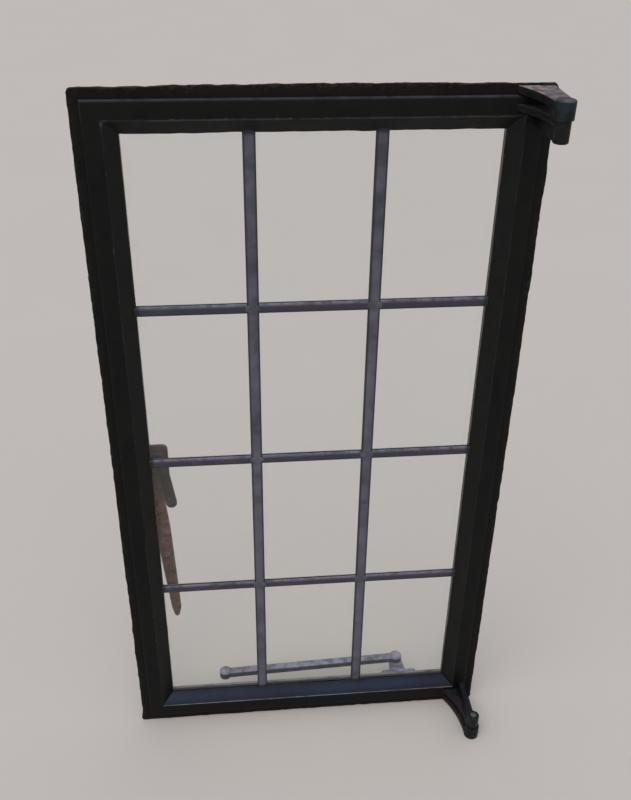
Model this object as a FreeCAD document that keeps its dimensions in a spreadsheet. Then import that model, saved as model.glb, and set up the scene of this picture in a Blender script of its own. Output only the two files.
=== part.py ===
import FreeCAD, Part
import math
import os
import Sketcher

# Side-hung steel casement window with leaded glazing, closed in its fixed frame.
# Row frame: origin in the middle of the sill's seat, +X right seen from outside, +Y into the room, +Z up.
# Insets run inward from the outside edge of the wall flange; depths run inward from its front face.

DOC = FreeCAD.newDocument("steel_casement_window")
SHEET = DOC.addObject("Spreadsheet::Sheet", "Sizes")


class Size:
    """A length with its value in millimetres and the expression that drives it."""

    def __init__(self, value, text):
        self.value = float(value)
        self.text = text

    def __add__(self, other):
        other = as_size(other)
        return Size(self.value + other.value, f"({self.text} + {other.text})")

    def __sub__(self, other):
        other = as_size(other)
        return Size(self.value - other.value, f"({self.text} - {other.text})")

    def __mul__(self, other):
        other = as_size(other)
        return Size(self.value * other.value, f"({self.text} * {other.text})")

    def __truediv__(self, other):
        other = as_size(other)
        return Size(self.value / other.value, f"({self.text} / {other.text})")

    def __neg__(self):
        return Size(-self.value, f"(0 - {self.text})")


def as_size(number):
    if isinstance(number, Size):
        return number
    return Size(number, repr(float(number)))


# Driving sizes
TABLE = {
    "frame_width": 460,
    "frame_height": 852,
    "steel": 4,
    "arris": 1,
    "web_inset": 17,
    "stop_inset": 31,
    "mitre_spare": 5,
    "mitre_reach": 20,
    "lap_inset": 11,
    "lap_round": 2.5,
    "flange_depth": 4,
    "rebate_inset": 29.5,
    "sight_inset": 43,
    "leg_front": 15.5,
    "putty_front": 3,
    "panel_inset": 36,
    "glass_front": 9,
    "glass_thick": 3,
    "glass_play": 0.25,
    "came_face": 11,
    "upright_face": 12.8,
    "came_leaf": 0.8,
    "came_heart": 1.5,
    "fixing_radius": 3,
    "fixing_reach": 300,
    "axis_inset": 14,
    "axis_depth": 62,
    "knuckle_radius": 9.5,
    "casement_knuckle_radius": 7.5,
    "frame_knuckle": 17.5,
    "casement_knuckle": 21,
    "knuckle_gap": 0.4,
    "hinge_pin_radius": 4,
    "pin_chamfer": 0.8,
    "running_play": 0.05,
    "arm_root_inset": 41,
    "arm_thick": 7,
    "arm_lift": 2,
    "leaf_thick": 6,
    "leaf_lift": 0.5,
    "rib_thick": 6,
    "rib_offset": 3.5,
    "handle_inset": 41,
    "handle_drop": 5,
    "plate_thick": 4,
    "plate_above": 23,
    "plate_below": 20,
    "plate_right": 21.5,
    "plate_corner": 6,
    "plate_clear": 0.5,
    "tail_width": 13,
    "tail_length": 68,
    "tail_lean": 6,
    "boss_radius": 8,
    "boss_height": 7.2,
    "pivot_play": 0.3,
    "pivot_radius": 4,
    "pivot_head": 7,
    "pivot_rim": 1,
    "pivot_rise": 2.5,
    "pivot_crown": 4,
    "hub_radius": 12,
    "hub_chamfer": 1.2,
    "lever_thick": 7,
    "lever_length": 258,
    "lever_width": 14,
    "lever_neck": 6,
    "lever_belly_drop": 112,
    "lever_belly_width": 19,
    "lever_tip_width": 12,
    "lever_tip_thick": 7,
    "lever_end": 14,
    "lever_end_width": 6,
    "lever_end_thick": 5,
    "lever_lean": 15,
    "lever_chamfer": 2,
    "spur_length": 26,
    "spur_root": 6,
    "spur_nose": 3.6,
    "spur_thick": 5.5,
    "keep_height": 44,
    "keep_thick": 2,
    "keep_corner": 3,
    "stay_pivot_inset": 102,
    "stay_pivot_depth": 49,
    "stay_length": 243,
    "stay_width": 11,
    "stay_thick": 9,
    "stay_round": 1.5,
    "stay_lift": 3.8,
    "stay_skew": 9,
    "stay_eye": 8.5,
    "stay_knob": 8,
    "stay_knob_height": 12,
    "stay_knob_shoulder": 9.5,
    "stay_knob_crown": 5,
    "foot_width": 48,
    "foot_thick": 4,
    "foot_corner": 4,
    "lug_root": 12,
    "lug_end": 9,
}


def fill_sheet():
    for row, (name, number) in enumerate(TABLE.items(), start=1):
        SHEET.set(f"A{row}", name)
        SHEET.set(f"B{row}", str(number))
        SHEET.setAlias(f"B{row}", name)
    DOC.recompute()


def dim(name):
    return Size(TABLE[name], f"Sizes.{name}")


fill_sheet()

# Levels that several pieces share
ZERO = Size(0, "0")
HALF_WIDTH = dim("frame_width") / 2
BOTTOM = -dim("web_inset")
TOP = dim("frame_height") - dim("web_inset")
MIDDLE = (BOTTOM + TOP) / 2
LEG_BACK = dim("leg_front") + dim("steel")
FRAME_BACK = LEG_BACK + dim("steel")
ORIGIN_DEPTH = (dim("steel") + FRAME_BACK) / 2
FLANGE_FRONT = -dim("flange_depth")


def depth(level):
    """Row Y of a depth behind the wall flange's front face."""
    return as_size(level) - ORIGIN_DEPTH


# Sketch helpers
def new_body(label):
    body = DOC.addObject("PartDesign::Body", label)
    body.Label = label
    return body


def new_sketch(body, plane, offset=ZERO, origin=(ZERO, ZERO)):
    """Empty sketch on an origin plane of the body, its origin moved in the plane and along the normal."""
    sketch = body.newObject("Sketcher::SketchObject", body.Name + "_sketch")
    support = [item for item in body.Origin.OriginFeatures if item.Role == plane][0]
    sketch.AttachmentSupport = (support, [""])
    sketch.MapMode = "FlatFace"
    place = FreeCAD.Vector(origin[0].value, origin[1].value, offset.value)
    sketch.AttachmentOffset = FreeCAD.Placement(place, FreeCAD.Rotation())
    for axis, size in (("x", origin[0]), ("y", origin[1]), ("z", offset)):
        sketch.setExpression(f"AttachmentOffset.Base.{axis}", size.text)
    sketch.Visibility = False
    return sketch


def bind(sketch, constraint, size):
    number = sketch.addConstraint(constraint)
    sketch.setExpression(f"Constraints[{number}]", size.text)


def pin_point(sketch, index, position, point):
    """Bind one sketch point to its two driving expressions."""
    for kind, axis, size in (("DistanceX", -2, point[0]), ("DistanceY", -1, point[1])):
        if abs(size.value) < 1e-9:
            sketch.addConstraint(Sketcher.Constraint("PointOnObject", index, position, axis))
        else:
            bind(sketch, Sketcher.Constraint(kind, -1, 1, index, position, size.value), size)


def winding(points):
    """1 for an outline drawn anticlockwise, -1 for a clockwise one."""
    area = 0.0
    for number, (first, second) in enumerate(points):
        before = points[number - 1]
        area += before[0].value * second.value - first.value * before[1].value
    return 1 if area > 0 else -1


def arc_between(start, end, radius, turn):
    """Shorter arc from start to end, anticlockwise where turn is 1, and which of its ends is the start."""
    chord = end - start
    half = chord.Length / 2
    left = FreeCAD.Vector(-chord.y, chord.x, 0).normalize()
    rise = math.sqrt(max(radius * radius - half * half, 0.0))
    centre = (start + end) / 2 + left * (rise * turn)
    first, last = (start, end) if turn > 0 else (end, start)
    angles = [math.atan2(point.y - centre.y, point.x - centre.x) for point in (first, last)]
    circle = Part.Circle(centre, FreeCAD.Vector(0, 0, 1), radius)
    return Part.ArcOfCircle(circle, angles[0], angles[1]), (1, 2) if turn > 0 else (2, 1)


def draw_outline(sketch, points, arcs=None):
    """Closed outline with every corner bound; arcs gives an edge's radius and bulge, 1 out or -1 in."""
    arcs = arcs or {}
    points = [(as_size(first), as_size(second)) for first, second in points]
    vectors = [FreeCAD.Vector(first.value, second.value, 0) for first, second in points]
    turn = winding(points)
    start = len(sketch.Geometry)
    count = len(points)
    ends = []
    for number in range(count):
        here, there = vectors[number], vectors[(number + 1) % count]
        if number in arcs:
            radius, bulge = arcs[number]
            edge, order = arc_between(here, there, radius.value, turn * bulge)
        else:
            edge, order = Part.LineSegment(here, there), (1, 2)
        sketch.addGeometry(edge, False)
        ends.append(order)
    for number in range(count):
        following = (number + 1) % count
        sketch.addConstraint(Sketcher.Constraint(
            "Coincident", start + number, ends[number][1], start + following, ends[following][0]))
    for number, point in enumerate(points):
        pin_point(sketch, start + number, ends[number][0], point)
    for number, (radius, bulge) in arcs.items():
        bind(sketch, Sketcher.Constraint("Radius", start + number, radius.value), radius)


def draw_circle(sketch, centre, radius):
    middle = FreeCAD.Vector(centre[0].value, centre[1].value, 0)
    index = sketch.addGeometry(Part.Circle(middle, FreeCAD.Vector(0, 0, 1), radius.value), False)
    pin_point(sketch, index, 3, centre)
    bind(sketch, Sketcher.Constraint("Radius", index, radius.value), radius)


def rectangle(left, right, low, high):
    return [(left, low), (right, low), (right, high), (left, high)]


def step_towards(corner, other, distance):
    """Point that far from a corner along an edge parallel to one axis."""
    moved = []
    for here, there in zip(corner, other):
        gap = there.value - here.value
        if abs(gap) < 1e-6:
            moved.append(here)
        else:
            moved.append(here + distance if gap > 0 else here - distance)
    return tuple(moved)


def round_corners(corners, radii):
    """Points and arcs of an outline whose listed square corners are rounded."""
    corners = [(as_size(first), as_size(second)) for first, second in corners]
    turn = winding(corners)
    points = []
    arcs = {}
    for number, corner in enumerate(corners):
        radius = radii.get(number)
        if radius is None:
            points.append(corner)
            continue
        before, after = corners[number - 1], corners[(number + 1) % len(corners)]
        entry, leave = step_towards(corner, before, radius), step_towards(corner, after, radius)
        bend = ((corner[0].value - entry[0].value) * (leave[1].value - corner[1].value)
                - (corner[1].value - entry[1].value) * (leave[0].value - corner[0].value))
        arcs[len(points)] = (radius, 1 if bend * turn > 0 else -1)
        points.extend([entry, leave])
    return points, arcs


# Feature helpers
def add_pad(body, sketch, length, midplane=False):
    pad = body.newObject("PartDesign::Pad", body.Name + "_pad")
    pad.Profile = sketch
    pad.Length = length.value
    pad.setExpression("Length", length.text)
    if midplane:
        pad.SideType = "Symmetric"
    body.Tip = pad


def add_through_cut(body, sketch):
    cut = body.newObject("PartDesign::Pocket", body.Name + "_cut")
    cut.Profile = sketch
    cut.Type = "ThroughAll"
    cut.SideType = "Symmetric"
    body.Tip = cut


def add_pocket(body, sketch, length, reverse):
    cut = body.newObject("PartDesign::Pocket", body.Name + "_pocket")
    cut.Profile = sketch
    cut.Length = length.value
    cut.setExpression("Length", length.text)
    cut.Reversed = reverse
    body.Tip = cut


def add_turning(body, sketch, axis):
    turning = body.newObject("PartDesign::Revolution", body.Name + "_turning")
    turning.Profile = sketch
    turning.ReferenceAxis = (sketch, [axis])
    turning.Angle = 360
    body.Tip = turning


def front_plate(body, front, back, draw):
    """Pad parallel to the glass between two depths; draw() fills its sketch in X and Z."""
    sketch = new_sketch(body, "XZ_Plane", -depth(back))
    draw(sketch)
    add_pad(body, sketch, back - front)


def level_plate(body, low, high, draw):
    """Pad parallel to the floor between two heights; draw() fills its sketch in X and Y."""
    sketch = new_sketch(body, "XY_Plane", low)
    draw(sketch)
    add_pad(body, sketch, high - low)


def side_plate(body, left, right, draw):
    """Pad parallel to the jambs between two sides; draw() fills its sketch in Y and Z."""
    sketch = new_sketch(body, "YZ_Plane", left)
    draw(sketch)
    add_pad(body, sketch, right - left)


def turn_upright(body, centre, low, profile, arcs=None):
    """Solid of revolution about an upright axis; the profile holds (radius, height above low)."""
    sketch = new_sketch(body, "XZ_Plane", -centre[1], (centre[0], low))
    draw_outline(sketch, profile, arcs)
    add_turning(body, sketch, "V_Axis")


def turn_inward(body, centre, front, profile, arcs=None):
    """Solid of revolution about an axis square to the glass; the profile holds (depth past front, radius)."""
    sketch = new_sketch(body, "YZ_Plane", centre[0], (depth(front), centre[1]))
    draw_outline(sketch, profile, arcs)
    add_turning(body, sketch, "H_Axis")


def soften_edges(body, radius, wanted):
    """Fillet the edges of the finished body that wanted() picks."""
    DOC.recompute()
    base = body.Tip
    names = [f"Edge{number}" for number, edge in enumerate(base.Shape.Edges, start=1) if wanted(edge)]
    fillet = body.newObject("PartDesign::Fillet", body.Name + "_fillet")
    fillet.Base = (base, names)
    fillet.Radius = radius.value
    fillet.setExpression("Radius", radius.text)
    body.Tip = fillet


# Mitred frame members
def across(side, inset):
    """Row coordinate of an inset on one side of the frame."""
    if side == "head":
        return TOP - inset
    if side == "sill":
        return BOTTOM + inset
    if side == "left":
        return inset - HALF_WIDTH
    return HALF_WIDTH - inset


def mitre_triangles(side):
    """The two corner pieces that the 45 degree mitres take off a member."""
    spare = dim("mitre_spare")
    reach = dim("sight_inset") + dim("mitre_reach")
    if side in ("head", "sill"):
        edge = across(side, -spare)
        inner = across(side, reach)
        ends = [(across(end, -spare), across(end, reach)) for end in ("left", "right")]
        return [[(out, edge), (out, inner), (near, inner)] for out, near in ends]
    out = across(side, -spare)
    near = across(side, reach)
    ends = [(across(end, -spare), across(end, reach)) for end in ("head", "sill")]
    return [[(out, edge), (near, edge), (near, inner)] for edge, inner in ends]


def mitred_member(label, side, section):
    """One frame bar: its rolled section run along the side and mitred at both ends."""
    corners, radii = section
    body = new_body(label)
    if side in ("head", "sill"):
        sketch = new_sketch(body, "YZ_Plane")
        placed = [(depth(level), across(side, inset)) for inset, level in corners]
        draw_outline(sketch, *round_corners(placed, radii))
        add_pad(body, sketch, dim("frame_width"), midplane=True)
    else:
        sketch = new_sketch(body, "XY_Plane", BOTTOM)
        placed = [(across(side, inset), depth(level)) for inset, level in corners]
        draw_outline(sketch, *round_corners(placed, radii))
        add_pad(body, sketch, dim("frame_height"))
    corner = new_sketch(body, "XZ_Plane")
    for triangle in mitre_triangles(side):
        draw_outline(corner, triangle)
    add_through_cut(body, corner)
    return body


def frame_section():
    """Z bar of the fixed frame: wall flange, web, and the stop behind the casement."""
    web = dim("web_inset")
    inner_web = web + dim("steel")
    stop = dim("stop_inset")
    arris = dim("arris")
    corners = [
        (ZERO, ZERO), (inner_web, ZERO), (inner_web, LEG_BACK), (stop, LEG_BACK),
        (stop, FRAME_BACK), (web, FRAME_BACK), (web, dim("steel")), (ZERO, dim("steel")),
    ]
    return corners, {0: arris, 4: arris, 5: arris, 7: arris}


def casement_section():
    """Z bar of the casement: rounded lapping flange, web, and glazing leg."""
    lap = dim("lap_inset")
    rebate = dim("rebate_inset")
    outer_web = rebate - dim("steel")
    leg = dim("leg_front")
    sight = dim("sight_inset")
    arris = dim("arris")
    corners = [
        (lap, ZERO), (lap, FLANGE_FRONT), (rebate, FLANGE_FRONT), (rebate, leg),
        (sight, leg), (sight, LEG_BACK), (outer_web, LEG_BACK), (outer_web, ZERO),
    ]
    return corners, {1: dim("lap_round"), 2: arris, 5: arris}


GLASS_BACK = dim("glass_front") + dim("glass_thick")
LEAD_FRONT = dim("glass_front") - dim("came_leaf")
LEAD_BACK = GLASS_BACK + dim("came_leaf")


def putty_section():
    """Putty: bevelled fillet in front of the panel's edge, bedding behind it."""
    rebate = dim("rebate_inset")
    sight = dim("sight_inset")
    panel = dim("panel_inset")
    lead = panel + dim("came_face") / 2
    corners = [
        (rebate, -dim("putty_front")), (sight, dim("glass_front")), (lead, dim("glass_front")),
        (lead, LEAD_FRONT), (panel, LEAD_FRONT), (panel, LEAD_BACK), (lead, LEAD_BACK),
        (lead, GLASS_BACK), (sight, GLASS_BACK), (sight, dim("leg_front")), (rebate, dim("leg_front")),
    ]
    return corners, {}


def build_frames():
    fixed = {"head": "head", "sill": "sill", "left": "left_jamb", "right": "right_jamb"}
    moving = {"head": "top_rail", "sill": "bottom_rail", "left": "left_stile", "right": "right_stile"}
    filling = {"head": "top_putty", "sill": "bottom_putty", "left": "left_putty", "right": "right_putty"}
    nodes = []
    for side in ("head", "sill", "left", "right"):
        bar = mitred_member("frame_" + fixed[side], side, frame_section())
        if side in ("left", "right"):
            drill_fixings(bar)
        nodes.append(bar)
        nodes.append(mitred_member("casement_" + moving[side], side, casement_section()))
        putty = mitred_member(filling[side], side, putty_section())
        notch_for_cames(putty, side)
        nodes.append(putty)
    return nodes


def drill_fixings(body):
    """Two screw holes through the jamb's web into the wall."""
    sketch = new_sketch(body, "YZ_Plane")
    for height in (MIDDLE - dim("fixing_reach"), MIDDLE + dim("fixing_reach")):
        draw_circle(sketch, (depth(ORIGIN_DEPTH), height), dim("fixing_radius"))
    add_through_cut(body, sketch)


# Leaded panel
COLUMNS = 3
ROWS = 4
PANEL_HALF = HALF_WIDTH - dim("panel_inset")
PANEL_LOW = BOTTOM + dim("panel_inset")
PANEL_HIGH = TOP - dim("panel_inset")
COLUMN = PANEL_HALF * 2 / COLUMNS
ROW = (PANEL_HIGH - PANEL_LOW) / ROWS
FACE = dim("came_face") / 2
UPRIGHT_FACE = dim("upright_face") / 2
HEART = dim("came_heart") / 2
UPRIGHTS = [COLUMN * number - PANEL_HALF for number in range(1, COLUMNS)]
LEVELS = [PANEL_LOW + ROW * number for number in range(1, ROWS)]


def draw_came(sketch, face, place):
    """H-shaped lead: two crowned faces joined by a thin heart; place() gives a point of the sketch."""
    half = [
        (face, LEAD_FRONT), (face, dim("glass_front")), (HEART, dim("glass_front")),
        (HEART, GLASS_BACK), (face, GLASS_BACK), (face, LEAD_BACK),
    ]
    other = [(-offset, level) for offset, level in reversed(half)]
    crown = (face * 2, 1)
    points = [place(offset, level) for offset, level in half + other]
    draw_outline(sketch, points, {len(half) - 1: crown, len(points) - 1: crown})


def upright_place(centre):
    return lambda offset, level: (centre + offset, depth(level))


def level_place(height):
    return lambda offset, level: (depth(level), height + offset)


def upright_came(label, centre):
    body = new_body(label)
    low = PANEL_LOW + FACE
    sketch = new_sketch(body, "XY_Plane", low)
    draw_came(sketch, UPRIGHT_FACE, upright_place(centre))
    add_pad(body, sketch, PANEL_HIGH - FACE - low)
    return body


def level_came(label, height):
    """Short leads in one line between the borders and the upright leads."""
    starts = [FACE - PANEL_HALF] + [centre + UPRIGHT_FACE for centre in UPRIGHTS]
    ends = [centre - UPRIGHT_FACE for centre in UPRIGHTS] + [PANEL_HALF - FACE]
    pieces = []
    for number, (start, end) in enumerate(zip(starts, ends), start=1):
        body = new_body(f"{label}_{number}")
        sketch = new_sketch(body, "YZ_Plane", start)
        draw_came(sketch, FACE, level_place(height))
        add_pad(body, sketch, end - start)
        pieces.append(body)
    node = DOC.addObject("Part::Compound", label)
    node.Label = label
    node.Links = pieces
    return node


def draw_ring(sketch, outer, inner):
    for inset in (outer, inner):
        side = PANEL_HALF - inset
        draw_outline(sketch, rectangle(-side, side, PANEL_LOW + inset, PANEL_HIGH - inset))


def border_came():
    """U-shaped lead around the panel's edge, slotted for the glass."""
    body = new_body("border_came")
    front_plate(body, LEAD_FRONT, LEAD_BACK, lambda sketch: draw_ring(sketch, ZERO, FACE))
    slot = new_sketch(body, "XZ_Plane", -depth(GLASS_BACK))
    draw_ring(slot, dim("came_heart"), FACE)
    add_pocket(body, slot, dim("glass_thick"), True)
    return body


def glass_pane(row, column):
    """One quarry, held in the slots of the leads around it."""
    edge = dim("came_heart") + dim("glass_play")
    inner = HEART + dim("glass_play")
    left_gap = edge if column == 0 else inner
    right_gap = edge if column == COLUMNS - 1 else inner
    top_gap = edge if row == 0 else inner
    low_gap = edge if row == ROWS - 1 else inner
    label = f"pane_row{row + 1}_col{column + 1}"
    pane = DOC.addObject("Part::Box", label)
    pane.Label = label
    bindings = {
        "Length": COLUMN - left_gap - right_gap,
        "Width": dim("glass_thick"),
        "Height": ROW - top_gap - low_gap,
        "Placement.Base.x": COLUMN * column - PANEL_HALF + left_gap,
        "Placement.Base.y": depth(dim("glass_front")),
        "Placement.Base.z": PANEL_HIGH - ROW * (row + 1) + low_gap,
    }
    for name, size in bindings.items():
        pane.setExpression(name, size.text)
    return pane


def notch_for_cames(body, side):
    """Room in the putty for the ends of the leads that run under it."""
    start = dim("panel_inset") + FACE
    level_side = side in ("head", "sill")
    sketch = new_sketch(body, "XY_Plane" if level_side else "YZ_Plane", across(side, start))
    if level_side:
        for centre in UPRIGHTS:
            draw_came(sketch, UPRIGHT_FACE, upright_place(centre))
    else:
        for height in LEVELS:
            draw_came(sketch, FACE, level_place(height))
    add_pocket(body, sketch, dim("sight_inset") + dim("mitre_spare") - start, side in ("sill", "left"))


def build_panel():
    nodes = [border_came()]
    for name, centre in zip(("left", "right"), UPRIGHTS):
        nodes.append(upright_came(f"came_upright_{name}", centre))
    for name, height in zip(("lower", "middle", "upper"), LEVELS):
        nodes.append(level_came(f"came_level_{name}", height))
    for row in range(ROWS):
        for column in range(COLUMNS):
            nodes.append(glass_pane(row, column))
    return nodes


# Projecting hinges
AXIS_X = HALF_WIDTH - dim("axis_inset")
AXIS_Y = depth(-dim("axis_depth"))
AXIS = (AXIS_X, AXIS_Y)
KNUCKLE = dim("knuckle_radius")


def draw_arm(sketch, root, root_right, knuckle):
    """Plan of an arm: a straight outer edge and an inner edge that sweeps into the knuckle."""
    root_left = HALF_WIDTH - dim("arm_root_inset")
    inner = AXIS_X - knuckle
    side = inner - root_left
    run = root - AXIS_Y
    sweep = (side * side + run * run) / (side * 2)
    points = [(root_left, root), (inner, AXIS_Y), (AXIS_X + knuckle, AXIS_Y), (root_right, root)]
    draw_outline(sketch, points, {0: (sweep, -1)})


def add_knuckle(body, low, high, free_end, radius):
    """Knuckle with its free end chamfered."""
    chamfer = dim("pin_chamfer")
    rim = radius - chamfer
    height = high - low
    if free_end == "high":
        outside = [(radius, ZERO), (radius, height - chamfer), (rim, height)]
    else:
        outside = [(rim, ZERO), (radius, chamfer), (radius, height)]
    turn_upright(body, AXIS, low, [(ZERO, ZERO)] + outside + [(ZERO, height)])


def bore_knuckle(body):
    bore = new_sketch(body, "XY_Plane")
    draw_circle(bore, AXIS, dim("hinge_pin_radius") + dim("running_play"))
    add_through_cut(body, bore)


def frame_arm(label, plate_low, low, high, free_end):
    """Flat swept arm on the fixed frame's flange."""
    body = new_body(label)
    root = depth(ZERO)
    level_plate(body, plate_low, plate_low + dim("arm_thick"),
                lambda sketch: draw_arm(sketch, root, AXIS_X + KNUCKLE, KNUCKLE))
    add_knuckle(body, low, high, free_end, KNUCKLE)
    bore_knuckle(body)
    return body


def casement_arm(label, plate_low, low, high, free_end):
    """Swept arm on the casement's flange, stiffened by an upright rib as high as the knuckle."""
    body = new_body(label)
    root = depth(FLANGE_FRONT)
    root_right = HALF_WIDTH - dim("lap_inset") - dim("lap_round")
    knuckle = dim("casement_knuckle_radius")
    level_plate(body, plate_low, plate_low + dim("leaf_thick"),
                lambda sketch: draw_arm(sketch, root, root_right, knuckle))
    rib_left = AXIS_X - dim("rib_offset") - dim("rib_thick") / 2
    chamfer = dim("pin_chamfer")
    side_plate(body, rib_left, rib_left + dim("rib_thick"), lambda sketch: draw_outline(
        sketch, rectangle(AXIS_Y, root, low + chamfer, high - chamfer)))
    add_knuckle(body, low, high, free_end, knuckle)
    bore_knuckle(body)
    return body


def hinge_pin(label, low, high):
    """Plain pin, flush with the knuckles."""
    body = new_body(label)
    level_plate(body, low, high, lambda sketch: draw_circle(sketch, AXIS, dim("hinge_pin_radius")))
    return body


def build_hinges():
    fixed = dim("frame_knuckle")
    moving = dim("casement_knuckle")
    gap = dim("knuckle_gap")
    top_split = TOP - fixed
    top_end = top_split - gap - moving
    low_split = BOTTOM + fixed
    low_end = low_split + gap + moving
    top_arm = TOP - dim("arm_lift") - dim("arm_thick")
    low_arm = BOTTOM + dim("arm_lift")
    top_leaf = top_split - gap - dim("leaf_lift") - dim("leaf_thick")
    low_leaf = low_split + gap + dim("leaf_lift")
    return [
        frame_arm("top_hinge_frame_arm", top_arm, top_split, TOP, "high"),
        casement_arm("top_hinge_casement_arm", top_leaf, top_end, top_split - gap, "low"),
        hinge_pin("top_hinge_pin", top_end, TOP),
        frame_arm("bottom_hinge_frame_arm", low_arm, BOTTOM, low_split, "low"),
        casement_arm("bottom_hinge_casement_arm", low_leaf, low_split + gap, low_end, "high"),
        hinge_pin("bottom_hinge_pin", BOTTOM, low_end),
    ]


# Casement fastener
HANDLE_X = dim("handle_inset") - HALF_WIDTH
HANDLE_Z = MIDDLE - dim("handle_drop")
HANDLE = (HANDLE_X, HANDLE_Z)
PLATE_BACK = LEG_BACK + dim("plate_thick")
BOSS_BACK = PLATE_BACK + dim("boss_height")
LEVER_FRONT = BOSS_BACK + dim("pivot_play")
LEVER_BACK = LEVER_FRONT + dim("lever_thick")
STOP_EDGE = across("left", dim("stop_inset"))


def rivet_profile(grip):
    """Half outline of a pivot rivet through a piece of that thickness: radius, distance along the axis."""
    shank = grip + dim("pivot_play") * 2
    top = shank + dim("pivot_rise")
    return [
        (ZERO, ZERO), (dim("pivot_radius"), ZERO), (dim("pivot_radius"), shank), (dim("pivot_head"), shank),
        (dim("pivot_head"), shank + dim("pivot_rim")), (dim("pivot_crown"), top), (ZERO, top),
    ]


def handle_plate():
    """Plate on the stile's glazing leg with a leaning tail beside the lever and a raised boss."""
    body = new_body("handle_plate")
    left = STOP_EDGE + dim("plate_clear")
    right = HANDLE_X + dim("plate_right")
    low = HANDLE_Z - dim("plate_below")
    high = HANDLE_Z + dim("plate_above")
    corner = dim("plate_corner")
    half = dim("tail_width") / 2
    lean = dim("tail_lean")
    tail = HANDLE_Z - dim("tail_length")
    tail_left = right - dim("tail_width")
    tip = right - half + lean

    def outline(sketch):
        draw_outline(sketch, [
            (left, low), (tail_left, low), (tail_left + lean, tail + half), (tip, tail),
            (right + lean, tail + half), (right, low), (right, high - corner), (right - corner, high),
            (left, high),
        ], {2: (half, 1), 3: (half, 1), 6: (corner, 1)})

    front_plate(body, LEG_BACK, PLATE_BACK, outline)
    boss = dim("boss_radius")
    neck = boss - dim("pin_chamfer")
    rise = dim("boss_height")
    turn_inward(body, HANDLE, PLATE_BACK, [(ZERO, ZERO), (rise, ZERO), (rise, neck), (ZERO, boss)])
    return body


def handle_pin():
    """Pivot rivet standing out of the boss, with a peened head over the hub."""
    body = new_body("handle_pin")
    profile = [(along, radius) for radius, along in rivet_profile(dim("lever_thick"))]
    turn_inward(body, HANDLE, BOSS_BACK, profile)
    return body


def lever_section(body, drop, lean, width, thick):
    """Cross-section of the lever at one height, a bar with chamfered corners."""
    middle = depth((LEVER_FRONT + LEVER_BACK) / 2)
    sketch = new_sketch(body, "XY_Plane", HANDLE_Z - drop, (HANDLE_X + lean, middle))
    corners = rectangle(-width / 2, width / 2, -thick / 2, thick / 2)
    cuts = {number: dim("lever_chamfer") for number in range(4)}
    draw_outline(sketch, round_corners(corners, cuts)[0])
    return sketch


def handle_lever():
    """Chamfered hub with the locking spur towards the jamb and the long drop lever, widest in the hand."""
    body = new_body("handle_lever")
    hub = dim("hub_radius")
    chamfer = dim("hub_chamfer")
    thick = dim("lever_thick")
    rim = hub - chamfer
    turn_inward(body, HANDLE, LEVER_FRONT, [
        (ZERO, ZERO), (thick, ZERO), (thick, rim), (thick - chamfer, hub), (chamfer, hub), (ZERO, rim)])
    length = dim("lever_length")
    shoulder = length - dim("lever_end")
    lean = dim("lever_lean")
    belly = dim("lever_belly_drop")
    tip_thick = dim("lever_tip_thick")
    sections = [
        lever_section(body, dim("pivot_radius"), ZERO, dim("lever_width"), dim("lever_neck")),
        lever_section(body, belly, lean * belly / length, dim("lever_belly_width"), tip_thick),
        lever_section(body, shoulder, lean, dim("lever_tip_width"), tip_thick),
        lever_section(body, length, lean, dim("lever_end_width"), dim("lever_end_thick")),
    ]
    loft = body.newObject("PartDesign::AdditiveLoft", "handle_lever_loft")
    loft.Profile = sections[0]
    loft.Sections = sections[1:]
    loft.Ruled = True
    body.Tip = loft
    root = dim("spur_root")
    nose = dim("spur_nose")
    reach = HANDLE_X - dim("spur_length")

    def spur(sketch):
        draw_outline(sketch, [
            (HANDLE_X, HANDLE_Z - root), (reach + nose, HANDLE_Z - nose), (reach, HANDLE_Z),
            (reach + nose, HANDLE_Z + nose), (HANDLE_X, HANDLE_Z + root),
        ], {1: (nose, 1), 2: (nose, 1)})

    spur_front = LEVER_FRONT + (thick - dim("spur_thick")) / 2
    front_plate(body, spur_front, spur_front + dim("spur_thick"), spur)
    bore = new_sketch(body, "XZ_Plane")
    draw_circle(bore, HANDLE, dim("pivot_radius") + dim("running_play"))
    add_through_cut(body, bore)
    return body


def handle_keep():
    """Striking plate on the jamb's stop, behind the spur."""
    body = new_body("handle_keep")
    half = dim("keep_height") / 2
    outer = across("left", dim("web_inset") + dim("arris"))
    inner = STOP_EDGE - dim("arris")
    corners = rectangle(outer, inner, HANDLE_Z - half, HANDLE_Z + half)
    rounding = {number: dim("keep_corner") for number in range(4)}
    front_plate(body, FRAME_BACK, FRAME_BACK + dim("keep_thick"),
                lambda sketch: draw_outline(sketch, *round_corners(corners, rounding)))
    return body


# Casement stay
STAY_X = HALF_WIDTH - dim("stay_pivot_inset")
STAY_Y = depth(dim("stay_pivot_depth"))
STAY = (STAY_X, STAY_Y)
SILL_STOP = BOTTOM + dim("stop_inset")
STAY_LOW = SILL_STOP + dim("stay_lift")
STAY_HIGH = STAY_LOW + dim("stay_thick")


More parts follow.
